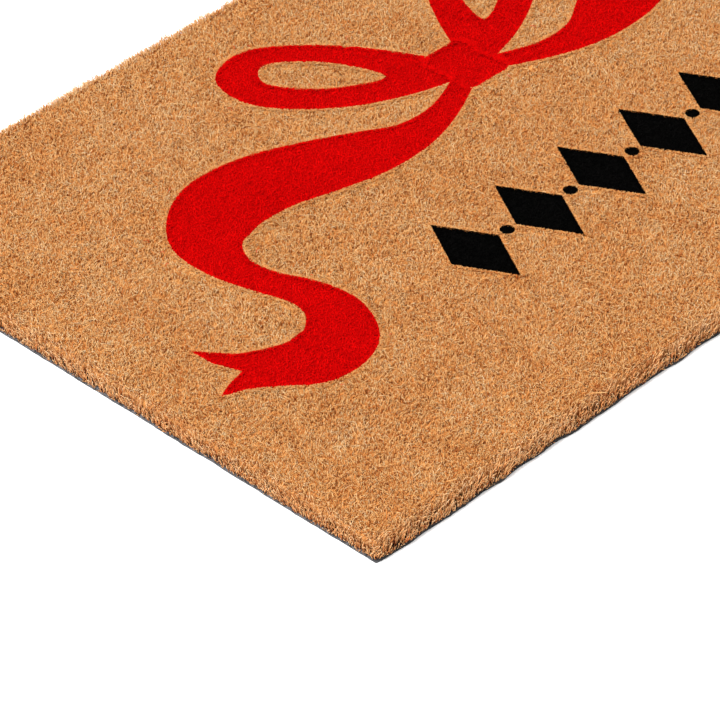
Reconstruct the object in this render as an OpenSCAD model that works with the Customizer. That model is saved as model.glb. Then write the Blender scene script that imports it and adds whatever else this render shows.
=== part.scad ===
// Coir door mat. Coconut fibre stands in a trimmed PVC backing sheet, and the fibre is dyed in
// zones: a ribbon bow with two swallow-tailed ends, and a row of lozenges with dots between them.
// Millimetres. +X runs along the long side, +Y towards the bow, +Z up.
// The origin is under the centre of the underside.

/* [Mat] */
// Length of the mat, along X
mat_length = 737; // [700:1:900]
// Width of the mat, along Y
mat_width = 432; // [400:1:600]
// Thickness of the PVC backing sheet
backing_thickness = 2.5; // [1.5:0.1:4]
// Height of the coir pile above the backing sheet
pile_height = 12.5; // [8:0.5:20]
// Distance from the trimmed edge of the backing to the foot of the pile
pile_setback = 0.8; // [0.2:0.1:3]
// Radius of the mat's trimmed corners
corner_radius = 1; // [0.5:0.5:8]

/* [Bow] */
// Distance of the knot's centre from the mat's centre, along Y
knot_y = 60; // [58:1:64]
// Width of the knot, along X
knot_width = 36; // [32:1:42]
// Height of the knot, along Y
knot_height = 44; // [40:1:50]

/* [Lozenge row] */
// Number of lozenges
lozenge_count = 6; // [2:2:6]
// Width of one lozenge, along X
lozenge_width = 40; // [30:1:42]
// Height of one lozenge, along Y
lozenge_height = 71; // [50:1:76]
// Distance between the centres of neighbouring lozenges
lozenge_pitch = 55; // [54:1:60]
// Diameter of the dots between the lozenges
dot_diameter = 9; // [6:0.5:11]
// Place of the row's centre line, from the mat's centre, along Y
row_y = -75; // [-80:1:-72]

/* [Hidden] */
LEFT = -1;
RIGHT = 1;
LOZENGES = [1:lozenge_count];
DOTS = [1:lozenge_count - 1];

coir_colour = [0.80, 0.55, 0.32];
red_dye = [0.82, 0.03, 0.03];
black_dye = [0.05, 0.045, 0.04];
pvc_colour = [0.16, 0.16, 0.17];

curve_steps = 5; // straight pieces in one stretch of a curve, from one point to the next
dot_sides = 48;
corner_sides = 32;

// The ribbon's tail from the knot to its end: distance out from the mat's centre line,
// distance along Y from the mat's centre, and half the ribbon's width there.
tail_route = [
    [6, 52, 7],
    [45, 35, 9],
    [78, 30.5, 14.5],
    [108, 37, 22.5],
    [140, 48.5, 27],
    [174, 60, 29],
    [208, 61, 29],
    [237, 44.5, 23],
    [247, 19, 14.5],
    [243.5, -8, 11],
    [234.5, -34, 13],
    [236, -57.5, 18],
    [252, -77, 22.5],
    [276, -80, 22.5],
    [296, -69.5, 18],
    [312, -59, 16.5]
];
// The tail's cut end, from one tip through the notch to the other tip
swallow_tail = [[319, -25], [318.5, -42], [312, -59], [325.5, -62], [336.5, -66.5]];

// One loop of the bow, and the natural coir seen through it: distance out from the centre line,
// and distance along Y from the mat's centre. Both are closed curves.
loop_outline = [
    [6, 52], [46, 60], [90, 84], [122, 122], [118, 158], [82, 166], [40, 130], [6, 72]
];
loop_opening = [[44, 85], [78, 102], [100, 132], [86, 147], [58, 122]];

// A smooth curve through four points a, b, c and d (Catmull-Rom): the place at t, from b to c
function curve_at(a, b, c, d, t) =
    0.5 * (2 * b + (c - a) * t + (2 * a - 5 * b + 4 * c - d) * t * t
        + (3 * b - a - 3 * c + d) * t * t * t);

// The smooth curve that starts at the first point and ends at the last one
function open_curve(points) =
    let (last = len(points) - 1)
    concat(
        [
            for (i = [0:last - 1], step = [0:curve_steps - 1])
                curve_at(
                    points[max(i - 1, 0)], points[i], points[i + 1],
                    points[min(i + 2, last)], step / curve_steps
                )
        ],
        [points[last]]
    );

// The smooth curve that goes through every point and joins up with itself
function closed_curve(points) =
    let (count = len(points))
    [
        for (i = [0:count - 1], step = [0:curve_steps - 1])
            curve_at(
                points[(i + count - 1) % count], points[i],
                points[(i + 1) % count], points[(i + 2) % count], step / curve_steps
            )
    ];

// The direction of a route at one of its points, along it and of length 1
function heading(route, i) =
    let (
        ahead = route[min(i + 1, len(route) - 1)],
        behind = route[max(i - 1, 0)],
        way = [ahead[0] - behind[0], ahead[1] - behind[1]]
    )
    way / norm(way);

// One edge of the ribbon: the route's points moved sideways by the half width they hold
function ribbon_edge(route, side) = [
    for (i = [0:len(route) - 1])
        let (way = heading(route, i))
        [route[i][0], route[i][1]] + side * route[i][2] * [-way[1], way[0]]
];

function backwards(points) = [for (i = [len(points) - 1:-1:0]) points[i]];

// The tail's outline: out along one edge, round the swallow tail, and back along the other edge
function tail_outline() =
    let (route = open_curve(tail_route))
    concat(ribbon_edge(route, 1), swallow_tail, backwards(ribbon_edge(route, -1)));

// The centre of item i, counted from 1, in a row of evenly spaced items centred on X = 0
function row_x(i, count) = (i - (count + 1) / 2) * lozenge_pitch;

// Flat outlines of the dyed zones

module knot_shape() {
    // A rounded block with sides that pull in a little, as a tight knot has
    half_width = knot_width / 2;
    half_height = knot_height / 2;
    waist = 0.9;
    translate([0, knot_y])
        polygon(closed_curve([
            [0, half_height], [half_width, half_height * waist], [half_width * waist, 0],
            [half_width, -half_height * waist], [0, -half_height],
            [-half_width, -half_height * waist], [-half_width * waist, 0],
            [-half_width, half_height * waist]
        ]));
}

module loop_shape(side) {
    difference() {
        scale([side, 1]) polygon(closed_curve(loop_outline));
        scale([side, 1]) polygon(closed_curve(loop_opening));
        knot_shape();
    }
}

module tail_shape(side) {
    difference() {
        scale([side, 1]) polygon(tail_outline());
        knot_shape();
        loop_shape(side);
    }
}

module lozenge_shape(i) {
    translate([row_x(i, lozenge_count), row_y])
        polygon([
            [0, lozenge_height / 2], [lozenge_width / 2, 0],
            [0, -lozenge_height / 2], [-lozenge_width / 2, 0]
        ]);
}

module dot_shape(i) {
    translate([row_x(i, lozenge_count - 1), row_y])
        circle(d = dot_diameter, $fn = dot_sides);
}

module mat_shape(setback) {
    // The mat's rectangle with trimmed corners, pulled in by setback on every side
    length = mat_length - 2 * setback;
    width = mat_width - 2 * setback;
    square([length - 2 * corner_radius, width], center = true);
    square([length, width - 2 * corner_radius], center = true);
    for (sx = [LEFT, RIGHT], sy = [-1, 1])
        translate([sx * (length / 2 - corner_radius), sy * (width / 2 - corner_radius)])
            circle(r = corner_radius, $fn = corner_sides);
}

// A block of standing fibre with the outline of its child, on top of the backing sheet
module pile(colour) {
    color(colour)
        translate([0, 0, backing_thickness])
            linear_extrude(pile_height)
                children();
}

// Sub-parts

module backing_sheet() {
    color(pvc_colour) linear_extrude(backing_thickness) mat_shape(0);
}

module natural_pile() {
    pile(coir_colour)
        difference() {
            mat_shape(pile_setback);
            knot_shape();
            for (side = [LEFT, RIGHT]) {
                loop_shape(side);
                tail_shape(side);
            }
            for (i = LOZENGES) lozenge_shape(i);
            for (i = DOTS) dot_shape(i);
        }
}

module bow_knot() { pile(red_dye) knot_shape(); }
module bow_loop(side) { pile(red_dye) loop_shape(side); }
module ribbon_tail(side) { pile(red_dye) tail_shape(side); }
module lozenge(i) { pile(black_dye) lozenge_shape(i); }
module dot(i) { pile(black_dye) dot_shape(i); }

backing_sheet();
natural_pile();
bow_knot();
bow_loop(LEFT);  // bow_loop_left
bow_loop(RIGHT);  // bow_loop_right
ribbon_tail(LEFT);  // ribbon_tail_left
ribbon_tail(RIGHT);  // ribbon_tail_right
for (i = LOZENGES) lozenge(i);
for (i = DOTS) dot(i);
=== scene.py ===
import math

import bpy
import numpy as np
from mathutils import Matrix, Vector


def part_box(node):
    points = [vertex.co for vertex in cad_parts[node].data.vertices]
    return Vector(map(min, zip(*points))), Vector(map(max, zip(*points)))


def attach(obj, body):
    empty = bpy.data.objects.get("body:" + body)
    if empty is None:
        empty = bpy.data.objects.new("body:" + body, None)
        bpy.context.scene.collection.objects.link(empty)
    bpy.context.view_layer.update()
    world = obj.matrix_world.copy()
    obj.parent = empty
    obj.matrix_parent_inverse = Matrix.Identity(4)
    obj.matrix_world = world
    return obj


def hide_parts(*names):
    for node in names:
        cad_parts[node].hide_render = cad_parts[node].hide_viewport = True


# A coir door mat: a trimmed PVC backing sheet, and several hundred thousand coconut fibres that
# stand in it, dyed in zones. Lengths are in metres. Zones and sizes come from the CAD frame.

MM = 0.001
WHITE = (1.0, 1.0, 1.0)

RED_NODES = ["bow_knot", "bow_loop_left", "bow_loop_right", "ribbon_tail_left", "ribbon_tail_right"]
NATURAL, RED, BLACK = 0, 1, 2
SLOTS = {NATURAL: "coir_natural", RED: "coir_red", BLACK: "coir_black"}

# Camera: the near left corner of the mat, from above, through a long lens
VIEW_HEADING = math.radians(43.784)   # turn of the view's direction from +X towards +Y
VIEW_DROP = math.radians(37.547)      # how far the view looks down
VIEW_DISTANCE = 2.617
VIEW_LENS_MM = 233.75
SENSOR_MM = 36.0
AIM_FROM_CORNER = Vector((0.1090, 0.1163, 0.0))   # from the mat's near left corner

# Light: one large soft lamp and a white sky
KEY_PLACE = (-5.5, 0.6, 6.0)
KEY_AIM = (0.5, 0.0, 0.0)
KEY_SIZE = 4.0
KEY_POWER = 815
SKY_STRENGTH = 1.40
FLOOR_REACH = 6.0             # half the floor's width
FLOOR_DROP = 0.1 * MM         # how far the floor lies under the mat

# Fibres inside the mat. A crop is how far below the pile's top its fibres start, how far they lean
# on average, how alike those leans are, the thinnest and thickest fibre, and the rings of a fibre.
FOOT_DROP = 4.4 * MM
LONG_SPACING = 1.60 * MM      # between fibres that lie over at the top of the pile
LONG_CROP = (FOOT_DROP, 2.9 * MM, 3.0, (0.30 * MM, 0.62 * MM), 3)
SHORT_SPACING = 1.24 * MM     # between the cut ends that stand among them
SHORT_CROP = (FOOT_DROP, 1.3 * MM, 2.0, (0.34 * MM, 0.68 * MM), 2)
BORDER_CROP = (1.1 * MM, 2.0 * MM, 4.0, (0.32 * MM, 0.50 * MM), 2)
BORDER_REACH = 2.0 * MM       # the pile is denser and more even this near a border of the dye
BORDER_DENSITY = 2.7          # extra fibres there, for each square millimetre
BORDER_SHADE = 0.7            # how much darker than the rest those fibres are: painted shade, since they stand high and catch more light
DYED_SIDE_SHARE = 0.70        # how many of those stay on the dyed side
INNER_INSET = 3.0 * MM        # the inner fibres start this far inside the pile's sides
TUFT_SPACING = 3.4 * MM       # fibres stand in tufts about this far apart
TUFT_PULL = 0.35              # how far towards its tuft's centre a fibre leans
SWAY = 1.2 * MM               # how far neighbouring fibres lean together
EDGE_REACH = 9 * MM           # fibres this near the mat's sides lean out and stand lower
EDGE_LEAN = 3.0 * MM
EDGE_FALL = 2.6 * MM
MOST_DROP = 5.5 * MM          # no fibre's tip is further below the pile's top than this
TILES_X, TILES_Y = 7, 4       # the natural fibre is made in tiles
MOST_FACES = 160_000          # a dyed zone with more than this is made in several pieces

# Fibres along the mat's sides
EDGE_SPACING = 0.84 * MM
EDGE_BAND = 6.8 * MM          # fibres this near the trimmed edge show their whole length
EDGE_INSET = 0.4 * MM         # no fibre stands nearer to the trimmed edge than this
EDGE_THICKNESS = (0.28 * MM, 0.56 * MM)
EDGE_FOOT = 0.9               # the share of the sheet's thickness at which a fibre starts
EDGE_LOWEST = 1.0 * MM        # no tip is nearer to the sheet than this
EDGE_STRAY = 1.4 * MM         # how far a fibre leans by chance
SIDE_SWAY = 1.6 * MM          # how far neighbouring fibres lean together along the edge
BARE_ABOVE = 0.3              # the rim shows bare where the field of bare patches is above this
BARE_REACH = 1.6 * MM         # how far in a bare patch reaches, for each unit above that
EDGE_OVERHANG = 2.6 * MM      # no tip leans further than this outside the mat's sides
LOCK_SPACING = 5.0 * MM       # the trimmed edge is combed into locks about this far apart
LOCK_PULL = 0.25              # how far towards its lock's centre a fibre leans
MOST_CURL = 1.8 * MM
FRINGE_PER_MM = 2.0           # extra fibres for each millimetre of a side, close to it
FRINGE_DEPTH = 0.8 * MM       # how deep the band is in which they stand
RIM_PER_MM = 2.3              # cut fibre ends for each millimetre of a side
STUBS_PER_MM = 1.5            # fibre ends coated with PVC for each millimetre of a side
RIM_HEIGHT = 1.9 * MM
STUB_HEIGHT = 0.7 * MM
RIM_OVERHANG = 2.4 * MM
RIM_INSETS = (0.05 * MM, 0.8 * MM)   # how near and how far from the trimmed edge those ends stand
RIM_FEET = (0.55, 0.95)       # the shares of the sheet's thickness at which they start
RIM_STRAY = 0.9 * MM          # how far they lean by chance

# Every fibre
SIDES = 3                     # corners of a fibre's section
FIBRE_TAPER = 0.25            # how much thinner a fibre is at its tip
CUT_END = 0.15                # the share of a fibre's length in which it comes to a point
DARK_SHARE = 0.025            # how many of the fibres are dark brown
DARK_SHADE = 0.01
SHADE_SPREAD = (1.7, 1.5)     # the shades of the rest: the exponents of a beta distribution
FIBRE_MAP = "OFBake"          # the fibres' map: shade, and place along
SIDE_MARK = 0.003             # how far apart the sides of one fibre lie in that map

# Loose fibres that lie on the pile
LOOSE_COUNT = 700
LOOSE_SPAN = (5 * MM, 14 * MM)
LOOSE_SHADES = (0.7, 1.0)
LOOSE_THICKNESS = (0.24 * MM, 0.36 * MM)
LOOSE_FOOT = 1.6 * MM         # how far below the pile's top they start
LOOSE_TIPS = (0.1 * MM, 0.5 * MM)   # and how far below it they end
LINT_COUNT = 400              # of which those near the bow are kept
LINT_SPAN = (1.5 * MM, 4 * MM)
LINT_REACH = 14 * MM
LOOSE_MARGIN = 15 * MM

# Beds, which are the dense foot of the pile
BED_DROP = 2.8 * MM           # how far below the pile's top the natural bed ends
BED_STEP = 2.5 * MM           # between the points of its uneven top
BED_INSET = 2.4 * MM          # how far inside the pile's sides it ends
BED_FALL = 3.4 * MM           # how much lower it is at its sides
BED_SLOPE = 5 * MM            # how far in from them it slopes down
BED_BORDER = 3.5 * MM         # it rises to the dyed beds this near a border of the dye
BED_SINK = 0.2 * MM           # how far it reaches into the backing
CORE_DROP = 1.6 * MM          # how far below the pile's top a zone's dyed bed ends

# Backing
CORNER_RADIUS = 1.0 * MM      # of the mat's trimmed corners
RIM_STEP = 1.5 * MM           # between points along the trimmed edge
PAINTED_SIDE_LIGHT = "painted_side_light"           # the attribute that says how much painted light makes the PVC pale
EDGE_RINGS = [   # share of the sheet's thickness, millimetres in from the edge, and how pale the painted light makes it
    (0.0, 4.0, 0.0), (0.0, 0.30, 1.0), (0.12, 0.06, 1.0), (0.5, 0.0, 1.0),
    (0.85, 0.06, 1.0), (1.0, 0.35, 1.0), (1.0, 4.0, 0.0)]

# Random fields over the plan: the seed of each, and the distance over which it changes
SHADE_SLOW, SHADE_FAST = (11, 28 * MM), (12, 6 * MM)
TOP_SLOW, TOP_FAST = (21, 34 * MM), (22, 5 * MM)
SWAY_X, SWAY_Y = (31, 5 * MM), (32, 5 * MM)
TUFTS, LOCKS = (41, TUFT_SPACING), (62, LOCK_SPACING)
KNIFE_SLOW, KNIFE_FAST = (51, 15 * MM), (52, 4 * MM)
EDGE_SWAY, RIM_PATCHES, BARE_PATCHES = (61, 8 * MM), (71, 5 * MM), (91, 6 * MM)

# Seeds of each group of pieces
PILE_SEED, EDGE_SEED, RIM_SEED, LOOSE_SEED, BED_SEED, BACKING_SEED = 5, 6, 7, 8, 9, 10

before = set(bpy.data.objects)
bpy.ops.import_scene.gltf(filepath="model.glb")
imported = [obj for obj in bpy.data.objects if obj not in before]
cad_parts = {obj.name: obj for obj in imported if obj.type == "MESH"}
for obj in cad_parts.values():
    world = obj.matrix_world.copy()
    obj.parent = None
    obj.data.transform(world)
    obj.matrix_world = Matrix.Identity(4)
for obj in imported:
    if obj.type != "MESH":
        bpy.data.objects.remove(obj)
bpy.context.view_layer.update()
MAT_LOW, MAT_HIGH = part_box("backing_sheet")
PILE_LOW, PILE_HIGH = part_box("natural_pile")
PILE_TOP = PILE_HIGH.z
BACKING_TOP = MAT_HIGH.z
BLACK_NODES = sorted(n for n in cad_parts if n.startswith(("lozenge", "dot")))
WAYS = np.array([[-1, 0], [1, 0], [0, -1], [0, 1]], float)   # left, right, front and back


# Random fields

def smooth_field(field, points):
    """The value, from -1 to 1, of a smooth random field at each point of the plan."""
    seed, cell = field
    rng = np.random.default_rng(seed)
    size = 64
    values = rng.uniform(-1, 1, (size, size))
    place = points / cell + size / 2
    base = np.floor(place).astype(int)
    part = place - base
    part = part * part * (3 - 2 * part)
    i, j = base[:, 0] % size, base[:, 1] % size
    i2, j2 = (i + 1) % size, (j + 1) % size
    low = values[i, j] * (1 - part[:, 0]) + values[i2, j] * part[:, 0]
    high = values[i, j2] * (1 - part[:, 0]) + values[i2, j2] * part[:, 0]
    return low * (1 - part[:, 1]) + high * part[:, 1]


def scattered(rng, low, high, spacing):
    """Points spread at random over a rectangle, one in each square of a grid."""
    counts = np.maximum(np.round((high - low) / spacing).astype(int), 1)
    step = (high - low) / counts
    i, j = np.meshgrid(np.arange(counts[0]), np.arange(counts[1]), indexing="ij")
    cells = np.stack([i.ravel(), j.ravel()], 1)
    return low + (cells + rng.uniform(0, 1, cells.shape)) * step


def nearest_tuft(field, points):
    """The centre of the tuft that each point belongs to, from a jittered grid of tufts."""
    seed, spacing = field
    rng = np.random.default_rng(seed)
    size = 512
    jitter = rng.uniform(0.1, 0.9, (size, size, 2))
    cell = np.floor(points / spacing).astype(int)
    best = np.full(len(points), np.inf)
    centre = np.zeros_like(points)
    for di in (-1, 0, 1):
        for dj in (-1, 0, 1):
            near = cell + (di, dj)
            place = (near + jitter[near[:, 0] % size, near[:, 1] % size]) * spacing
            distance = ((points - place) ** 2).sum(1)
            closer = distance < best
            best[closer] = distance[closer]
            centre[closer] = place[closer]
    return centre


# Zones

def cad_mesh(node):
    """The points and triangles of a CAD node."""
    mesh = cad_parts[node].data
    mesh.calc_loop_triangles()
    points = np.array([v.co for v in mesh.vertices], float)
    return points, np.array([t.vertices for t in mesh.loop_triangles])


def outline_of(node):
    """The edges of a CAD node's flat top, as pairs of points in the plan."""
    points, triangles = cad_mesh(node)
    on_top = (points[triangles][:, :, 2] > points[:, 2].max() - 0.1 * MM).all(1)
    corners = np.round(points[triangles[on_top]][:, :, :2] / MM, 3)
    sides = np.concatenate([corners[:, [0, 1]], corners[:, [1, 2]], corners[:, [2, 0]]])
    turned = (sides[:, 0, 0] > sides[:, 1, 0]) | (
        (sides[:, 0, 0] == sides[:, 1, 0]) & (sides[:, 0, 1] > sides[:, 1, 1]))
    sides[turned] = sides[turned][:, ::-1]
    found, uses = np.unique(sides.reshape(-1, 4), axis=0, return_counts=True)
    return found[uses == 1].reshape(-1, 2, 2) * MM


def inside(outline, points):
    """Whether each point is inside an outline, by counting the sides to its right."""
    low, high = outline.reshape(-1, 2).min(0), outline.reshape(-1, 2).max(0)
    result = np.zeros(len(points), bool)
    near = ((points >= low) & (points <= high)).all(1)
    px, py = points[near].T
    crossings = np.zeros(near.sum(), int)
    for (ax, ay), (bx, by) in outline:
        if ay == by:
            continue
        between = (ay > py) != (by > py)
        crossings += between & (px < ax + (py - ay) * (bx - ax) / (by - ay))
    result[near] = crossings % 2 == 1
    return result


OUTLINES = {node: outline_of(node) for node in RED_NODES + BLACK_NODES}


def dye_of(node):
    """The dye of a node of the pile."""
    if node == "natural_pile":
        return NATURAL
    return RED if node in RED_NODES else BLACK


def zone_of(points):
    """The dye at each point of the plan, and the index of its node in the list of dyed nodes."""
    dye = np.full(len(points), NATURAL)
    owner = np.full(len(points), -1)
    for index, node in enumerate(RED_NODES + BLACK_NODES):
        here = inside(OUTLINES[node], points)
        dye[here] = dye_of(node)
        owner[here] = index
    return dye, owner


def edge_distance(points):
    """How far each point is from the nearest side of the mat, and the way out from there."""
    gaps = np.stack([
        points[:, 0] - MAT_LOW.x, MAT_HIGH.x - points[:, 0],
        points[:, 1] - MAT_LOW.y, MAT_HIGH.y - points[:, 1]], 1)
    out = np.exp(-gaps / (1.5 * MM)) @ WAYS
    out /= np.maximum(np.linalg.norm(out, axis=1, keepdims=True), 1e-9)
    return gaps.min(1), out


def on_long_side(points):
    """1 near the mat's long sides, 0 near its short sides, and in between at its corners."""
    share = np.abs(points[:, 1]) / MAT_HIGH.y - np.abs(points[:, 0]) / MAT_HIGH.x
    return np.clip(share * 40 + 0.5, 0, 1)


def knife_inset(points):
    """How far inside the mat's outline the knife ran: mostly a little outside it, so below 0.
    It wandered more along the long sides."""
    slow = smooth_field(KNIFE_SLOW, points)
    fast = smooth_field(KNIFE_FAST, points)
    swing = 0.3 + 0.8 * on_long_side(points)
    return (swing * (slow - 1.1) + 0.2 * fast) * MM


# Meshes

def new_piece(name, material, points, faces, marks=None):
    """A mesh object from arrays of points and triangles, with an optional map value per point."""
    mesh = bpy.data.meshes.new(name)
    mesh.vertices.add(len(points))
    mesh.vertices.foreach_set("co", np.asarray(points, np.float32).ravel())
    mesh.loops.add(faces.size)
    mesh.loops.foreach_set("vertex_index", faces.ravel().astype(np.int32))
    mesh.polygons.add(len(faces))
    mesh.polygons.foreach_set("loop_start", np.arange(0, faces.size, 3, dtype=np.int32))
    mesh.update(calc_edges=True)
    if marks is not None:
        layer = mesh.uv_layers.new(name=FIBRE_MAP)
        layer.data.foreach_set("uv", np.asarray(marks, np.float32)[faces.ravel()].ravel())
    mesh.materials.append(material)
    piece = bpy.data.objects.new(name, mesh)
    bpy.context.scene.collection.objects.link(piece)
    return piece


def stand_in(name, material, arrays, node):
    """A piece that stands for a CAD node and rides on the mat's one body."""
    piece = new_piece(name, material, *arrays)
    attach(piece, "root")
    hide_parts(node)
    return piece


class Fibres:
    """Many fibres. Each leaves its root, leans over as it rises, and curls a little sideways."""

    def __init__(self, roots, lean, curl, foot, tip, rise):
        length = np.maximum(np.linalg.norm(lean, axis=1), 1e-6)[:, None]
        self.roots, self.lean, self.foot, self.tip, self.rise = roots, lean, foot, tip, rise
        self.swing = np.stack([-lean[:, 1], lean[:, 0]], 1) / length * curl[:, None]

    def at(self, part, chosen=slice(None)):
        """Where each chosen fibre is at a part of its length, from 0 at its root to 1."""
        lean, swing = self.lean[chosen], self.swing[chosen]
        foot, tip = self.foot[chosen], self.tip[chosen]
        plan = (self.roots[chosen] + lean * part[:, None] ** 1.3
                + swing * np.sin(math.pi * part)[:, None])
        height = foot + (tip - foot) * (1 - (1 - part) ** self.rise[chosen])
        return np.c_[plan, height]


class Strands:
    """The stretches of fibre that a piece is made of: which fibre, from where to where on it."""

    def __init__(self, fibre, start, end, owner, cut):
        self.fibre, self.start, self.end, self.owner, self.cut = fibre, start, end, owner, cut

    def chosen(self, mask):
        return Strands(self.fibre[mask], self.start[mask], self.end[mask], self.owner[mask],
                       self.cut[mask])


def strands_by_dye(fibres, owner):
    """Whole fibres, except that one which crosses a border of the dye is cut in two there, and
    one which crosses a narrow zone from side to side is left out."""
    count = len(owner)
    every = np.arange(count)
    tip_owner = zone_of(fibres.at(np.ones(count))[:, :2])[1]
    middle_owner = zone_of(fibres.at(np.full(count, 0.5))[:, :2])[1]
    bridging = (tip_owner == owner) & (middle_owner != owner)
    crossing = every[tip_owner != owner]
    low, high = np.zeros(len(crossing)), np.ones(len(crossing))
    for _ in range(9):
        middle = (low + high) / 2
        same = zone_of(fibres.at(middle, crossing)[:, :2])[1] == owner[crossing]
        low, high = np.where(same, middle, low), np.where(same, high, middle)
    end = np.ones(count)
    end[crossing] = low
    cut = np.zeros(count, bool)
    cut[crossing] = True
    strands = Strands(
        np.r_[every, crossing], np.r_[np.zeros(count), low], np.r_[end, np.ones(len(low))],
        np.r_[owner, tip_owner[crossing]], np.r_[cut, np.zeros(len(low), bool)])
    return strands.chosen(~bridging[strands.fibre])


def face_count(rings):
    """How many triangles one strand has."""
    return 1 + SIDES * (2 * rings - 1)


def strand_faces(rings):
    """The triangles of one strand: a closed tube of rings that ends in one point."""
    faces = [[2, 1, 0]]
    for ring in range(rings - 1):
        for side in range(SIDES):
            a = ring * SIDES + side
            b = ring * SIDES + (side + 1) % SIDES
            faces += [[a, b, b + SIDES], [a, b + SIDES, a + SIDES]]
    last = (rings - 1) * SIDES
    for side in range(SIDES):
        faces.append([last + side, last + (side + 1) % SIDES, rings * SIDES])
    return np.array(faces)


def strand_arrays(fibres, strands, shade, radius, turn, rings):
    """Points, triangles and map values of strands. The map's first value is the fibre's shade,
    and its second is the place along the fibre."""
    count = len(strands.fibre)
    even = np.arange(rings) / (rings - 1)
    pointed, blunt = np.append(even * (1 - CUT_END), 1.0), np.append(even, 1.0)
    share = np.where(strands.cut[:, None], blunt, pointed)
    along = strands.start[:, None] + (strands.end - strands.start)[:, None] * share
    path = np.stack([fibres.at(along[:, k], strands.fibre) for k in range(rings + 1)], 1)
    radius, turn, shade = radius[strands.fibre], turn[strands.fibre], shade[strands.fibre]
    way = np.gradient(path, axis=1)
    way[:, -1] = way[:, -2]
    way /= np.maximum(np.linalg.norm(way, axis=2, keepdims=True), 1e-9)
    across = np.cross(way, [0.0, 0.0, 1.0]) + np.array([1e-4, 0, 0])
    across /= np.linalg.norm(across, axis=2, keepdims=True)
    upward = np.cross(across, way)
    points, marks = [], []
    for ring in range(rings):
        size = radius * (1 - FIBRE_TAPER * along[:, ring])
        for side in range(SIDES):
            angle = turn + 2 * math.pi * side / SIDES
            offset = (np.cos(angle)[:, None] * across[:, ring]
                      + np.sin(angle)[:, None] * upward[:, ring])
            points.append(path[:, ring] + offset * size[:, None])
            marks.append(np.stack([shade + (side - 1) * SIDE_MARK, along[:, ring]], 1))
    points.append(path[:, -1])
    marks.append(np.stack([shade, along[:, -1]], 1))
    points = np.stack(points, 1).reshape(-1, 3)
    marks = np.stack(marks, 1).reshape(-1, 2)
    per = rings * SIDES + 1
    faces = strand_faces(rings)[None] + per * np.arange(count)[:, None, None]
    return points, faces.reshape(-1, 3), marks


# Materials

class Look:
    """A new material, its Principled shader, and short ways to add the nodes that feed it."""

    def __init__(self, name, specular):
        self.material = bpy.data.materials.new(name)
        self.material.use_nodes = True
        self.tree = self.material.node_tree
        self.shader = self.tree.nodes["Principled BSDF"]
        self.shader.inputs["Specular IOR Level"].default_value = specular
        self.place = self.add("ShaderNodeTexCoord").outputs["Object"]

    def add(self, kind, **values):
        node = self.tree.nodes.new(kind)
        for key, value in values.items():
            setattr(node, key, value)
        return node

    def join(self, source, target):
        self.tree.links.new(source, target)

    def noise(self, scale, detail, distortion=0.0, place=None):
        """Noise over the object, or over another place that is given."""
        node = self.add("ShaderNodeTexNoise")
        node.inputs["Scale"].default_value = scale
        node.inputs["Detail"].default_value = detail
        node.inputs["Distortion"].default_value = distortion
        self.join(self.place if place is None else place, node.inputs["Vector"])
        return node.outputs["Fac"]

    def ramp(self, value, stops):
        """The colour for a value, between stops that each hold a value and a colour."""
        node = self.add("ShaderNodeValToRGB")
        elements = node.color_ramp.elements
        while len(elements) > 1:
            elements.remove(elements[-1])
        elements[0].position = stops[0][0]
        elements[0].color = (*stops[0][1], 1)
        for place, colour in stops[1:]:
            elements.new(place).color = (*colour, 1)
        self.join(value, node.inputs["Fac"])
        return node.outputs["Color"]

    def ranged(self, value, new_span, span=(0.0, 1.0)):
        """A value moved from one span to another, and held inside it."""
        node = self.add("ShaderNodeMapRange")
        node.inputs["From Min"].default_value = span[0]
        node.inputs["From Max"].default_value = span[1]
        node.inputs["To Min"].default_value = new_span[0]
        node.inputs["To Max"].default_value = new_span[1]
        self.join(value, node.inputs["Value"])
        return node.outputs["Result"]

    def blended(self, factor, first, second, **values):
        """Two values, or two colours, mixed by a factor that is a number or another value."""
        node = self.add("ShaderNodeMix", **values)
        if isinstance(factor, float):
            node.inputs["Factor"].default_value = factor
        else:
            self.join(factor, node.inputs["Factor"])
        self.join(first, node.inputs["A"])
        self.join(second, node.inputs["B"])
        return node.outputs["Result"]

    def multiplied(self, first, second):
        return self.blended(1.0, first, second, data_type="RGBA", blend_type="MULTIPLY")

    def finished(self, colour, grain, roughness, strength, relief):
        """The material in this colour, with its roughness and its bump from one grain."""
        self.join(colour, self.shader.inputs["Base Color"])
        self.join(self.ranged(grain, roughness), self.shader.inputs["Roughness"])
        bump = self.add("ShaderNodeBump")
        bump.inputs["Strength"].default_value = strength
        bump.inputs["Distance"].default_value = relief
        self.join(grain, bump.inputs["Height"])
        self.join(bump.outputs["Normal"], self.shader.inputs["Normal"])
        return self.material


def fibre_material(name, shades, depths, fleck_tint, specular, patch_tint=None):
    """Coconut fibre. The fibre map gives its shade and the place along it, from the foot to the
    tip. Noise gives its fine flecks and, with a patch tint, patches that took the dye unevenly."""
    look = Look(name, specular)
    split = look.add("ShaderNodeSeparateXYZ")
    look.join(look.add("ShaderNodeUVMap", uv_map=FIBRE_MAP).outputs["UV"], split.inputs[0])
    fleck = look.noise(scale=900, detail=2)
    shade = look.ramp(split.outputs["X"], shades)
    # darker towards the foot by the depths ramp: painted shade deep in the pile, and on the sides
    # partly the PVC that coats the feet
    colour = look.multiplied(shade, look.ramp(split.outputs["Y"], depths))
    colour = look.multiplied(colour, look.ramp(fleck, [(0.35, fleck_tint), (0.6, WHITE)]))
    if patch_tint:
        patch = look.noise(scale=190, detail=2)
        colour = look.multiplied(colour, look.ramp(patch, [(0.38, patch_tint), (0.62, WHITE)]))
    return look.finished(colour, fleck, (0.5, 0.8), strength=0.5, relief=0.08 * MM)


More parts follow.
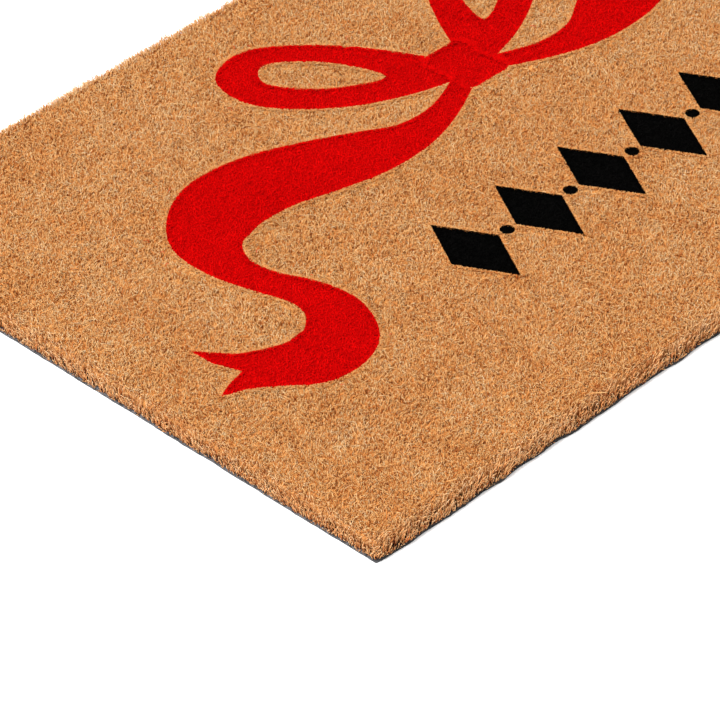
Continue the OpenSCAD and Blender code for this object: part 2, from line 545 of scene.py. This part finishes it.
COIR_SHADES = [
    (0.0, (0.13, 0.035, 0.010)), (0.05, (0.39, 0.120, 0.028)), (0.15, (0.548, 0.226, 0.061)),
    (0.45, (0.600, 0.332, 0.128)), (0.75, (0.597, 0.403, 0.203)), (1.0, (0.605, 0.475, 0.308))]
# paler and redder than the field's coir: the extra paleness is painted light on the sides of the
# pile
EDGE_SHADES = [
    (0.0, (0.22, 0.060, 0.019)), (0.05, (0.54, 0.190, 0.056)), (0.15, (0.65, 0.300, 0.105)),
    (0.45, (0.705, 0.418, 0.190)), (0.75, (0.725, 0.505, 0.275)), (1.0, (0.760, 0.59, 0.39))]
RED_SHADES = [
    (0.0, (0.52, 0.0008, 0.0008)), (0.3, (0.595, 0.001, 0.001)), (1.0, (0.66, 0.002, 0.002))]
BLACK_SHADES = [
    (0.0, (0.0004,) * 3), (0.7, (0.0014, 0.0013, 0.0012)), (1.0, (0.0045, 0.0040, 0.0038))]
STUB_SHADES = [
    (0.0, (0.006, 0.006, 0.007)), (0.6, (0.02, 0.02, 0.022)), (1.0, (0.09, 0.075, 0.06))]
# darker and more orange towards the foot: painted shade deep in the pile
INNER_DEPTHS = [(0.0, (1.0, 0.62, 0.35)), (0.6, (1.0, 0.86, 0.70)), (0.95, WHITE)]
EDGE_DEPTHS = [   # dark at the foot: partly the PVC that coats it, partly painted shade among the crowded feet
    (0.0, (0.18, 0.11, 0.092)), (0.12, (0.48, 0.28, 0.195)), (0.32, (0.84, 0.59, 0.44)),
    (0.7, (0.99, 0.88, 0.785)), (1.0, WHITE)]
# a little darker towards the foot: painted shade deep in the pile
DYED_DEPTHS = [(0.0, (0.9,) * 3), (0.9, WHITE)]


def bed_material(name, shades):
    """The dense foot of the pile, seen in the gaps between fibres: streaks of matted fibre that
    run one way in some patches and the other way in the rest."""
    look = Look(name, specular=0.01)
    streaks = []
    for stretch in ((3200, 700, 3200), (700, 3200, 3200)):
        turned = look.add("ShaderNodeMapping", vector_type="POINT")
        turned.inputs["Scale"].default_value = stretch
        turned.inputs["Rotation"].default_value = (0, 0, 0.5)
        look.join(look.place, turned.inputs["Vector"])
        streaks.append(look.noise(scale=1, detail=2, distortion=0.4,
                                  place=turned.outputs["Vector"]))
    which = look.ranged(look.noise(scale=260, detail=1), (0.0, 1.0), span=(0.46, 0.54))
    grain = look.blended(which, *streaks)
    return look.finished(look.ramp(grain, shades), grain, (0.8, 1.0), strength=0.9,
                         relief=0.4 * MM)


# the darkest end is painted shade: spots that stand for deep holes in the pile; the rest is matted
# fibre
BED_SHADES = [
    (0.33, (0.10, 0.028, 0.007)), (0.40, (0.36, 0.125, 0.028)), (0.5, (0.53, 0.215, 0.055)),
    (0.64, (0.63, 0.34, 0.125))]
# darker than the red fibres: painted shade of the gaps between them
RED_BED_SHADES = [(0.35, (0.25, 0.0004, 0.0004)), (0.65, (0.36, 0.0006, 0.0006))]
BLACK_BED_SHADES = [(0.35, (0.0004,) * 3), (0.65, (0.002, 0.0018, 0.0016))]


PVC_SHADES = [
    (0.3, (0.006, 0.006, 0.006)), (0.55, (0.014, 0.0135, 0.014)), (0.75, (0.035, 0.034, 0.035))]
# the pale grey of the cut edge on the short sides: painted light, as on a side that the lamp lights
PAINTED_SIDE_LIGHT_SHADES = [(0.3, (0.035, 0.035, 0.038)), (0.6, (0.095, 0.095, 0.102))]


def backing_material():
    """Dark grey PVC with a faint grain. Its cut edge is painted pale grey on the short sides, which
    is painted light, and stays dark on the long sides.
    """
    look = Look("pvc", specular=0.15)
    grain = look.noise(scale=420, detail=5)
    plain = look.ramp(look.noise(scale=60, detail=3), PVC_SHADES)
    pale = look.ramp(grain, PAINTED_SIDE_LIGHT_SHADES)
    # painted light: how pale the cut edge is painted at each point
    amount = look.add("ShaderNodeAttribute", attribute_name=PAINTED_SIDE_LIGHT).outputs["Fac"]
    colour = look.blended(amount, plain, pale, data_type="RGBA")
    colour = look.multiplied(colour, look.ramp(grain, [(0.35, (0.55,) * 3), (0.65, WHITE)]))
    return look.finished(colour, grain, (0.42, 0.72), strength=0.6, relief=0.25 * MM)


# Pieces

def rim_points(rng, per_mm, nearest, furthest):
    """Points along the mat's four sides, at random distances in from the trimmed edge."""
    half = np.array([MAT_HIGH.x, MAT_HIGH.y])
    found = []
    for axis in (0, 1):
        for sign in (-1, 1):
            along = half[1 - axis] - furthest
            count = int(2 * along / MM * per_mm)
            points = np.empty((count, 2))
            points[:, 1 - axis] = rng.uniform(-along, along, count)
            points[:, axis] = sign * half[axis]
            inset = knife_inset(points) + rng.uniform(nearest, furthest, count)
            points[:, axis] -= sign * inset
            found.append(points)
    return np.concatenate(found)


def fibre_shades(rng, points):
    """How light each fibre is, from 0 to 1: mostly chance, with slow drifts across the mat, and
    a few fibres that are dark brown."""
    drift = 0.10 * smooth_field(SHADE_SLOW, points)
    drift += 0.08 * smooth_field(SHADE_FAST, points)
    shade = np.clip(rng.beta(*SHADE_SPREAD, len(points)) + drift, DARK_SHADE, 0.99)
    shade[rng.uniform(0, 1, len(points)) < DARK_SHARE] = DARK_SHADE
    return shade


def surface_height(points):
    """How far the pile's sheared top dips below its highest level."""
    dips = 0.45 * smooth_field(TOP_SLOW, points)
    dips += 0.55 * smooth_field(TOP_FAST, points)
    return 0.55 * (1 + dips) * MM


def leans(rng, roots, mean, spread):
    """How far each fibre's tip stands aside of its foot. The smaller the spread, the more some
    fibres lean further than others."""
    count = len(roots)
    sway = np.stack([smooth_field(field, roots) for field in (SWAY_X, SWAY_Y)], 1)
    lean = TUFT_PULL * (nearest_tuft(TUFTS, roots) - roots) + SWAY * sway
    angle = rng.uniform(0, 2 * math.pi, count)
    length = rng.gamma(spread, mean / spread, count)
    return lean + np.stack([np.cos(angle), np.sin(angle)], 1) * length[:, None]


def near_border(roots, owner, reach):
    """Whether a fibre stands within reach of the border of its dye."""
    near = np.zeros(len(roots), bool)
    for way in WAYS:
        near |= zone_of(roots + reach * way)[1] != owner
    return near


def standing_fibres(rng, roots, owner, foot, mean_lean, spread):
    """Fibres that stand from a foot height to the pile's top, and lie over there."""
    count = len(roots)
    gap, out = edge_distance(roots)
    near_edge = np.clip(1 - gap / EDGE_REACH, 0, 1)
    lean = leans(rng, roots, mean_lean, spread)
    lean *= (1 - 0.4 * near_edge)[:, None]
    lean += out * (EDGE_LEAN * near_edge ** 1.5)[:, None]
    dyed = owner >= 0
    drop = (surface_height(roots) + rng.gamma(1.2, 0.45, count) * MM) * np.where(dyed, 0.5, 1)
    border = near_border(roots, owner, BORDER_REACH)
    drop[border] = rng.uniform(0.2, 0.5, border.sum()) * MM
    drop += EDGE_FALL * near_edge ** 2
    tip = PILE_TOP - np.minimum(drop, MOST_DROP)
    length = np.linalg.norm(lean, axis=1)
    rise = 1.25 + np.minimum(length / (2.5 * MM), 1.2)
    curl = rng.normal(0, 0.22, count) * length + rng.normal(0, 0.2 * MM, count)
    return Fibres(roots, lean, curl, foot, tip, rise)


def border_roots(rng):
    """Extra roots on both sides of every border of the dye, fewer of them on the dyed side."""
    found = []
    for outline in OUTLINES.values():
        start, way = outline[:, 0], outline[:, 1] - outline[:, 0]
        length = np.linalg.norm(way, axis=1)
        counts = rng.poisson(length * 2 * BORDER_REACH * BORDER_DENSITY / MM ** 2)
        side = np.repeat(np.arange(len(outline)), counts)
        across = np.stack([-way[:, 1], way[:, 0]], 1) / length[:, None]
        along = rng.uniform(0, 1, (len(side), 1))
        aside = rng.uniform(-BORDER_REACH, BORDER_REACH, (len(side), 1))
        found.append(start[side] + way[side] * along + across[side] * aside)
    roots = np.concatenate(found)
    natural = zone_of(roots)[0] == NATURAL
    return roots[natural | (rng.uniform(0, 1, len(roots)) < DYED_SIDE_SHARE)]


def band_of(values, low, high, bands):
    """Which of several equal bands between low and high each value falls in."""
    return np.clip(np.floor((values - low) / (high - low) * bands), 0, bands - 1)


def grow(rng, roots, foot_drop, mean_lean, spread, thickness, rings):
    """Fibres on the given roots, with what their strands are drawn with."""
    count = len(roots)
    owner = zone_of(roots)[1]
    fibres = standing_fibres(rng, roots, owner, np.full(count, PILE_TOP - foot_drop),
                             mean_lean, spread)
    shade = fibre_shades(rng, roots)
    # painted shade on the fibres near a border of the dye, which stand high and catch more light
    shade[near_border(roots, owner, BORDER_REACH)] *= BORDER_SHADE
    looks = (shade, rng.uniform(*thickness, count) / 2,
             rng.uniform(0, 2 * math.pi, count), rings)
    return fibres, strands_by_dye(fibres, owner), looks


def joined(meshes):
    """Several sets of points, triangles and map values as one."""
    points, faces, marks = zip(*meshes)
    starts = np.cumsum([0] + [len(p) for p in points[:-1]])
    faces = [f + start for f, start in zip(faces, starts)]
    return np.concatenate(points), np.concatenate(faces), np.concatenate(marks)


def fibre_piece(name, crops, masks, material, node):
    """One piece, made of the masked strands of every crop."""
    arrays = joined([
        strand_arrays(fibres, strands.chosen(mask), *looks)
        for (fibres, strands, looks), mask in zip(crops, masks)])
    return stand_in(name, material, arrays, node)


def make_natural_tiles(crops, low, high, material):
    """The natural fibre, in tiles."""
    tiles = [np.floor((fibres.roots - low) / (high - low) * (TILES_X, TILES_Y)).astype(int)
             for fibres, _, _ in crops]
    pieces = []
    for i in range(TILES_X):
        for j in range(TILES_Y):
            masks = [
                (strands.owner < 0) & (tile[strands.fibre] == (i, j)).all(1)
                for (_, strands, _), tile in zip(crops, tiles)]
            name = f"coir_tile_{i + 1}_{j + 1}"
            pieces.append(fibre_piece(name, crops, masks, material, "natural_pile"))
    return pieces


def make_dyed_zone(crops, index, node, material):
    """The fibre of one dyed zone, in one piece or in several that stand side by side."""
    masks = [strands.owner == index for _, strands, _ in crops]
    faces = sum(mask.sum() * face_count(looks[-1]) for mask, (_, _, looks) in zip(masks, crops))
    parts = math.ceil(faces / MOST_FACES)
    lowest, highest = OUTLINES[node][..., 0].min(), OUTLINES[node][..., 0].max()
    pieces = []
    for part in range(parts):
        within = [mask & (band_of(fibres.roots[strands.fibre, 0], lowest, highest, parts) == part)
                  for mask, (fibres, strands, _) in zip(masks, crops)]
        name = f"{node}_fibres" if parts == 1 else f"{node}_fibres_{part + 1}"
        pieces.append(fibre_piece(name, crops, within, material, node))
    return pieces


def make_pile(materials):
    """Every standing fibre inside the mat: the natural ones in tiles, and the dyed ones by zone."""
    rng = np.random.default_rng(PILE_SEED)
    low = np.array([PILE_LOW.x, PILE_LOW.y]) + INNER_INSET
    high = np.array([PILE_HIGH.x, PILE_HIGH.y]) - INNER_INSET
    crops = [
        grow(rng, scattered(rng, low, high, LONG_SPACING), *LONG_CROP),
        grow(rng, scattered(rng, low, high, SHORT_SPACING), *SHORT_CROP),
        grow(rng, border_roots(rng), *BORDER_CROP)]
    pieces = make_natural_tiles(crops, low, high, materials[NATURAL])
    for index, node in enumerate(RED_NODES + BLACK_NODES):
        pieces += make_dyed_zone(crops, index, node, materials[dye_of(node)])
    return pieces


def whole(count):
    """Strands that are whole fibres."""
    return Strands(np.arange(count), np.zeros(count), np.ones(count), np.full(count, -1),
                   np.zeros(count, bool))


def kept_close(roots, lean, overhang):
    """The lean, held back so that no tip hangs further than this outside the mat's sides."""
    beyond = np.abs(roots + lean) - np.array([MAT_HIGH.x, MAT_HIGH.y]) - overhang
    return lean - np.sign(roots) * np.maximum(beyond, 0)


def edge_roots(rng):
    """Where the fibres of the four sides stand, apart from patches that are bare, how far each is
    from the trimmed edge, and the way out from there."""
    low, high = np.array([MAT_LOW.x, MAT_LOW.y]), np.array([MAT_HIGH.x, MAT_HIGH.y])
    roots = np.concatenate([
        scattered(rng, low, high, EDGE_SPACING),
        rim_points(rng, FRINGE_PER_MM, EDGE_INSET, EDGE_INSET + FRINGE_DEPTH)])
    gap, out = edge_distance(roots)
    gap -= knife_inset(roots + out * gap[:, None])
    thin = np.maximum(smooth_field(BARE_PATCHES, roots) - BARE_ABOVE, 0)
    bare = EDGE_INSET + BARE_REACH * thin
    near = (gap > bare) & (gap < EDGE_BAND)
    return roots[near], gap[near], out[near]


def edge_leans(rng, roots, outer, out):
    """How far the fibres of the sides lean: mostly outwards, and together in locks."""
    count = len(roots)
    lean = rng.normal(0, EDGE_STRAY, (count, 2))
    lean += out * ((0.4 + rng.gamma(3, 0.7, count) * outer) * MM)[:, None]
    lean += LOCK_PULL * (nearest_tuft(LOCKS, roots) - roots)
    beside = np.stack([-out[:, 1], out[:, 0]], 1)
    return lean + beside * (SIDE_SWAY * smooth_field(EDGE_SWAY, roots))[:, None]


def edge_fibres(rng):
    """The fibres of the four sides. They stand lower and lean further out the nearer they are to
    the trimmed edge."""
    roots, gap, out = edge_roots(rng)
    count = len(roots)
    outer = 1 - gap / EDGE_BAND
    lean = edge_leans(rng, roots, outer, out)
    fullness = 1 - 0.55 * outer ** 3
    share = 1 - outer * (1 - rng.beta(2.0, 1.1, count))
    foot = np.full(count, EDGE_FOOT * BACKING_TOP)
    highest = PILE_TOP - surface_height(roots) - rng.gamma(1.3, 0.4, count) * MM
    lowest = BACKING_TOP + EDGE_LOWEST
    tip = lowest + (highest - lowest) * fullness * share
    lean *= (0.35 + 0.65 * (tip - foot) / (PILE_TOP - BACKING_TOP))[:, None]
    lean = kept_close(roots, lean, EDGE_OVERHANG)
    length = np.linalg.norm(lean, axis=1)
    rise = 1.1 + np.minimum(length / (3 * MM), 1.2)
    curl = rng.normal(0, 0.35, count) * length + rng.normal(0, 1.0 * MM, count)
    return Fibres(roots, lean, np.clip(curl, -MOST_CURL, MOST_CURL), foot, tip, rise)


def make_edges(material):
    """The fibres of the four sides, which show from foot to tip, in one piece for each side."""
    rng = np.random.default_rng(EDGE_SEED)
    fibres = edge_fibres(rng)
    roots = fibres.roots
    count = len(roots)
    shade = fibre_shades(rng, roots)
    radius = rng.uniform(*EDGE_THICKNESS, count) / 2
    turn = rng.uniform(0, 2 * math.pi, count)
    sideways = np.abs(roots / (MAT_HIGH.x, MAT_HIGH.y)).argmax(1)
    pieces = []
    for name, axis, sign in (("left", 0, -1), ("right", 0, 1), ("front", 1, -1), ("back", 1, 1)):
        chosen = (sideways == axis) & (np.sign(roots[:, axis]) == sign)
        arrays = strand_arrays(fibres, whole(count).chosen(chosen), shade, radius, turn, 4)
        pieces.append(stand_in(f"edge_{name}_fibres", material, arrays, "natural_pile"))
    return pieces


def lying_fibres(name, rng, roots, span, material):
    """Fibres that have come loose and lie across the top of the natural pile."""
    count = len(roots)
    angle = rng.uniform(0, 2 * math.pi, count)
    lean = rng.uniform(*span, (count, 1)) * np.stack([np.cos(angle), np.sin(angle)], 1)
    foot = np.full(count, PILE_TOP - LOOSE_FOOT)
    tip = PILE_TOP - rng.uniform(*LOOSE_TIPS, count)
    curl = rng.normal(0, 0.25, count) * np.linalg.norm(lean, axis=1)
    fibres = Fibres(roots, lean, curl, foot, tip, np.full(count, 4.0))
    natural = np.ones(count, bool)
    for part in np.linspace(0, 1, 15):
        natural &= zone_of(fibres.at(np.full(count, part))[:, :2])[0] == NATURAL
    arrays = strand_arrays(fibres, whole(count).chosen(natural),
                           rng.uniform(*LOOSE_SHADES, count),
                           rng.uniform(*LOOSE_THICKNESS, count) / 2,
                           rng.uniform(0, 2 * math.pi, count), 7)
    return stand_in(name, material, arrays, "natural_pile")


def make_loose(materials):
    """Long pale fibres all over the mat, and short dyed lint near the bow."""
    rng = np.random.default_rng(LOOSE_SEED)
    low = np.array([PILE_LOW.x, PILE_LOW.y]) + LOOSE_MARGIN
    high = np.array([PILE_HIGH.x, PILE_HIGH.y]) - LOOSE_MARGIN
    long_roots = rng.uniform(low, high, (LOOSE_COUNT, 2))
    lint_roots = rng.uniform(low, high, (LINT_COUNT, 2))
    beside_red = np.zeros(len(lint_roots), bool)
    for way in WAYS:
        beside_red |= zone_of(lint_roots + LINT_REACH * way)[0] == RED
    return [
        lying_fibres("loose_fibres", rng, long_roots, LOOSE_SPAN, materials[NATURAL]),
        lying_fibres("red_lint", rng, lint_roots[beside_red], LINT_SPAN, materials[RED])]


def make_rim(coir, coated):
    """Short cut fibre ends along the trimmed edge, some still coated with the backing's PVC."""
    rng = np.random.default_rng(RIM_SEED)
    pieces = []
    for name, material, node, slot, per_mm, tallest in (
            ("rim_fibres", coir, "natural_pile", SLOTS[NATURAL], RIM_PER_MM, RIM_HEIGHT),
            ("coated_stubs", coated, "backing_sheet", "pvc_backing", STUBS_PER_MM, STUB_HEIGHT)):
        roots = rim_points(rng, per_mm, *RIM_INSETS)
        patch = smooth_field(RIM_PATCHES, roots)
        count = len(roots)
        out = edge_distance(roots)[1] * (0.8 + 0.9 * on_long_side(roots)[:, None]) * MM
        lean = out * rng.uniform(0, 1, (count, 1))
        lean = kept_close(roots, lean + rng.normal(0, RIM_STRAY, (count, 2)), RIM_OVERHANG)
        foot = rng.uniform(*RIM_FEET, count) * BACKING_TOP
        tip = foot + (0.2 + rng.gamma(3, 0.35, count)) * (1.2 + 0.8 * patch) * tallest
        curl = rng.normal(0, 0.3 * MM, count)
        fibres = Fibres(roots, lean, curl, foot, tip, np.full(count, 1.3))
        arrays = strand_arrays(fibres, whole(count), fibre_shades(rng, roots),
                               rng.uniform(0.3, 0.6, count) / 2 * MM,
                               rng.uniform(0, 2 * math.pi, count), 2)
        pieces.append(stand_in(name, material, arrays, node))
    return pieces


def make_dyed_bed(node, material):
    """The dense dyed foot of one zone: the CAD block, ended a little below the pile's top."""
    points, faces = cad_mesh(node)
    points[:, 2] = np.minimum(points[:, 2], PILE_TOP - CORE_DROP)
    return stand_in(f"{node}_bed", material, (points, faces), node)


def bed_height(rng, plan):
    """The uneven height of the natural bed: lower at its sides, and even beside the dyed beds."""
    gap, _ = edge_distance(plan)
    height = PILE_TOP - BED_DROP - surface_height(plan) + rng.uniform(-0.7, 0.7, len(plan)) * MM
    height -= BED_FALL * np.clip(1 - (gap - BED_INSET) / BED_SLOPE, 0, 1)
    owner = zone_of(plan)[1]
    border = near_border(plan, owner, BED_BORDER)
    height[border] = PILE_TOP - CORE_DROP - rng.uniform(0.2, 0.5, border.sum()) * MM
    return height


def block_under(top, counts, foot):
    """Points and triangles of a closed block, from a grid of points on its top to a flat foot."""
    index = np.arange(len(top)).reshape(counts)
    a, b = index[:-1, :-1].ravel(), index[1:, :-1].ravel()
    c, d = index[1:, 1:].ravel(), index[:-1, 1:].ravel()
    rim = np.concatenate([index[:-1, 0], index[-1, :-1], index[:0:-1, -1], index[0, :0:-1]])
    low_rim = len(top) + np.arange(len(rim))
    next_rim, next_low = np.roll(rim, -1), np.roll(low_rim, -1)
    centre = np.full(len(rim), len(top) + len(rim))
    faces = np.concatenate([
        np.stack([a, b, c], 1), np.stack([a, c, d], 1),
        np.stack([rim, low_rim, next_low], 1), np.stack([rim, next_low, next_rim], 1),
        np.stack([low_rim, centre, next_low], 1)])
    under = np.c_[top[rim, :2], np.full(len(rim), foot)]
    middle = [*(top[0, :2] + top[-1, :2]) / 2, foot]
    return np.concatenate([top, under, [middle]]), faces


def make_bed(material):
    """The dense foot of the natural pile: one closed block with an uneven top."""
    low = np.array([PILE_LOW.x, PILE_LOW.y]) + BED_INSET
    high = np.array([PILE_HIGH.x, PILE_HIGH.y]) - BED_INSET
    counts = np.round((high - low) / BED_STEP).astype(int) + 1
    xs, ys = np.linspace(low[0], high[0], counts[0]), np.linspace(low[1], high[1], counts[1])
    plan = np.stack(np.meshgrid(xs, ys, indexing="ij"), -1).reshape(-1, 2)
    top = np.c_[plan, bed_height(np.random.default_rng(BED_SEED), plan)]
    arrays = block_under(top, counts, BACKING_TOP - BED_SINK)
    return stand_in("pile_bed", material, arrays, "natural_pile")


def trimmed_outline():
    """Points along the mat's outline and round its corners, a short step apart."""
    half = np.array([MAT_HIGH.x, MAT_HIGH.y])
    corners = []
    for cx, cy, start in ((1, 1, 0.0), (-1, 1, 0.5), (-1, -1, 1.0), (1, -1, 1.5)):
        for angle in np.linspace(start, start + 0.5, 5) * math.pi:
            corners.append([cx * (half[0] - CORNER_RADIUS) + CORNER_RADIUS * math.cos(angle),
                            cy * (half[1] - CORNER_RADIUS) + CORNER_RADIUS * math.sin(angle)])
    corners = np.array(corners)
    outline = []
    for start, end in zip(corners, np.roll(corners, -1, 0)):
        steps = max(int(np.linalg.norm(end - start) / RIM_STEP), 1)
        outline += [start + (end - start) * k / steps for k in range(steps)]
    return np.array(outline)


def ring_faces(count, rings):
    """The triangles of a closed solid: rings of points from its underside up to its top, then
    the middle of the underside, then the middle of the top."""
    here = np.arange(count)
    after = np.roll(here, -1)
    faces = []
    for ring in range(rings - 1):
        a, b = ring * count + here, ring * count + after
        faces += [np.stack([a, b, b + count], 1), np.stack([a, b + count, a + count], 1)]
    last = (rings - 1) * count
    bottom_middle, top_middle = last + count, last + count + 1
    faces.append(np.stack([here, np.full(count, bottom_middle), after], 1))
    faces.append(np.stack([last + here, last + after, np.full(count, top_middle)], 1))
    return np.concatenate(faces)


def make_backing(material):
    """The PVC sheet, with a knife-trimmed edge that wanders a little."""
    rng = np.random.default_rng(BACKING_SEED)
    rim = trimmed_outline()
    count = len(rim)
    out = edge_distance(rim)[1]
    inset = knife_inset(rim)
    rings = []
    for share, pull, _ in EDGE_RINGS:
        shift = inset + (rng.uniform(0, 0.10, count) + pull) * MM
        rings.append(np.c_[rim - out * shift[:, None], np.full(count, share * BACKING_TOP)])
    points = np.concatenate(rings + [[[0, 0, 0]], [[0, 0, BACKING_TOP]]])
    arrays = points, ring_faces(count, len(EDGE_RINGS))
    piece = stand_in("backing", material, arrays, "backing_sheet")
    # painted light: the cut edge is painted pale on the short sides and left dark on the long ones
    short_side = 1 - on_long_side(rim)
    pale = np.concatenate([side_light_share * short_side for _, _, side_light_share in EDGE_RINGS] + [[0, 0]])
    painted_side_light = piece.data.attributes.new(PAINTED_SIDE_LIGHT, "FLOAT", "POINT")
    painted_side_light.data.foreach_set("value", pale.astype(np.float32))
    return piece


# Stage

def make_camera():
    corner = Vector((MAT_LOW.x, MAT_LOW.y, PILE_TOP))
    aim = corner + AIM_FROM_CORNER
    way = Vector((math.cos(VIEW_DROP) * math.cos(VIEW_HEADING),
                  math.cos(VIEW_DROP) * math.sin(VIEW_HEADING), -math.sin(VIEW_DROP)))
    data = bpy.data.cameras.new("camera")
    data.sensor_width = SENSOR_MM
    data.lens = VIEW_LENS_MM
    camera = bpy.data.objects.new("camera", data)
    camera.location = aim - way * VIEW_DISTANCE
    camera.rotation_euler = way.to_track_quat("-Z", "Y").to_euler()
    bpy.context.scene.collection.objects.link(camera)
    bpy.context.scene.camera = camera


def make_floor():
    look = Look("floor", specular=0.2)
    tone = look.ramp(look.noise(scale=3, detail=2), [(0.0, (0.93,) * 3), (1.0, (0.95,) * 3)])
    look.join(tone, look.shader.inputs["Base Color"])
    look.shader.inputs["Roughness"].default_value = 0.8
    below = MAT_LOW.z - FLOOR_DROP
    corners = np.array([[-FLOOR_REACH, -FLOOR_REACH, below], [FLOOR_REACH, -FLOOR_REACH, below],
                        [FLOOR_REACH, FLOOR_REACH, below], [-FLOOR_REACH, FLOOR_REACH, below]])
    floor = new_piece("floor", look.material, corners, np.array([[0, 1, 2], [0, 2, 3]]))


def area_light(name, place, aim, size, power):
    data = bpy.data.lights.new(name, "AREA")
    data.shape = "DISK"
    data.size = size
    data.energy = power
    light = bpy.data.objects.new(name, data)
    light.location = place
    light.rotation_euler = (Vector(aim) - Vector(place)).to_track_quat("-Z", "Y").to_euler()
    bpy.context.scene.collection.objects.link(light)


def make_lights():
    area_light("key", KEY_PLACE, KEY_AIM, KEY_SIZE, KEY_POWER)
    world = bpy.data.worlds.new("studio")
    world.use_nodes = True
    sky = world.node_tree.nodes["Background"]
    sky.inputs["Color"].default_value = (*WHITE, 1)
    sky.inputs["Strength"].default_value = SKY_STRENGTH
    bpy.context.scene.world = world
    bpy.context.scene.view_settings.view_transform = "Standard"


make_camera()
make_floor()
make_lights()
coir = {
    NATURAL: fibre_material("coir_natural", COIR_SHADES, INNER_DEPTHS, (0.92, 0.84, 0.74), 0.1),
    RED: fibre_material("coir_red", RED_SHADES, DYED_DEPTHS, (0.92,) * 3, 0.01, (0.87,) * 3),
    BLACK: fibre_material("coir_black", BLACK_SHADES, DYED_DEPTHS, (0.7,) * 3, 0.01),
}
edge_coir = fibre_material("coir_edge", EDGE_SHADES, EDGE_DEPTHS, (0.88, 0.74, 0.58), 0.1)
coated_coir = fibre_material("pvc_coated_coir", STUB_SHADES, DYED_DEPTHS, (0.6,) * 3, 0.15)
red_bed = bed_material("coir_bed_red", RED_BED_SHADES)
black_bed = bed_material("coir_bed_black", BLACK_BED_SHADES)
backing = make_backing(backing_material())
pile = [make_bed(bed_material("coir_bed", BED_SHADES))] + make_rim(edge_coir, coated_coir)
pile += [make_dyed_bed(node, red_bed) for node in RED_NODES]
pile += [make_dyed_bed(node, black_bed) for node in BLACK_NODES]
pile += make_pile(coir) + make_edges(edge_coir) + make_loose(coir)
